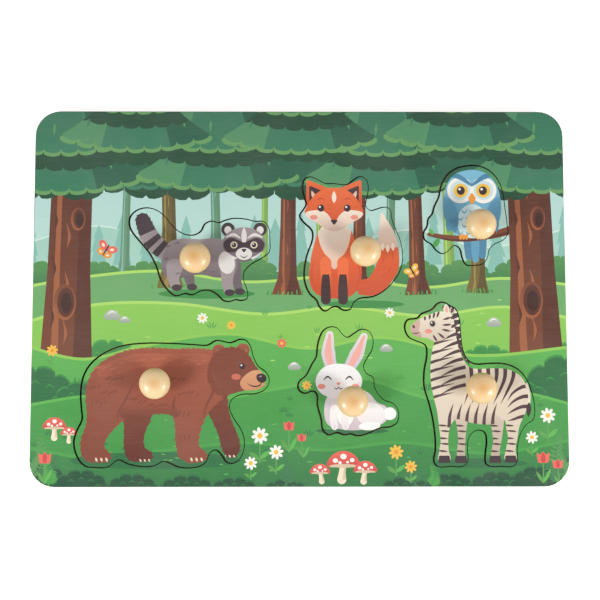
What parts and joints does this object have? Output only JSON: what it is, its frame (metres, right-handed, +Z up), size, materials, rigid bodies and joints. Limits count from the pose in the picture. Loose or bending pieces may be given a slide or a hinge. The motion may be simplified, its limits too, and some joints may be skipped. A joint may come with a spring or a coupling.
{
  "type": "wooden animal peg puzzle",
  "caption": "Flat wooden peg puzzle: a printed board with rounded corners holds laser-cut animal pieces, each lifted out by a turned wooden knob.",
  "frame": {"origin": "middle of the underside, on the surface that the puzzle lies on", "axes": "+X along the long side to the right of the picture, +Y towards the top of the picture, +Z up out of the board"},
  "size_m": [0.297, 0.21, 0.0236],
  "materials": {
    "birch_plywood": "bare sanded plywood",
    "printed_plywood": "printed, satin lacquer",
    "raccoon_print": "printed, satin lacquer",
    "fox_print": "printed, satin lacquer",
    "owl_print": "printed, satin lacquer",
    "bear_print": "printed, satin lacquer",
    "rabbit_print": "printed, satin lacquer",
    "zebra_print": "printed, satin lacquer",
    "lacquered_knob": "turned, clear gloss lacquer"
  },
  "bodies": {
    "board": {"backing_board": "birch_plywood", "top_board": "printed_plywood"},
    "raccoon": {"raccoon_piece": "raccoon_print", "raccoon_knob": "lacquered_knob"},
    "fox": {"fox_piece": "fox_print", "fox_knob": "lacquered_knob"},
    "owl": {"owl_piece": "owl_print", "owl_knob": "lacquered_knob"},
    "bear": {"bear_piece": "bear_print", "bear_knob": "lacquered_knob"},
    "rabbit": {"rabbit_piece": "rabbit_print", "rabbit_knob": "lacquered_knob"},
    "zebra": {"zebra_piece": "zebra_print", "zebra_knob": "lacquered_knob"}
  },
  "joints": [
    {"name": "raccoon_lift", "type": "slide", "parent": "board", "child": "raccoon", "axis": [0, 0, 1], "range_m": [0, 0.03]},
    {"name": "fox_lift", "type": "slide", "parent": "board", "child": "fox", "axis": [0, 0, 1], "range_m": [0, 0.03]},
    {"name": "owl_lift", "type": "slide", "parent": "board", "child": "owl", "axis": [0, 0, 1], "range_m": [0, 0.03]},
    {"name": "bear_lift", "type": "slide", "parent": "board", "child": "bear", "axis": [0, 0, 1], "range_m": [0, 0.03]},
    {"name": "rabbit_lift", "type": "slide", "parent": "board", "child": "rabbit", "axis": [0, 0, 1], "range_m": [0, 0.03]},
    {"name": "zebra_lift", "type": "slide", "parent": "board", "child": "zebra", "axis": [0, 0, 1], "range_m": [0, 0.03]}
  ]
}
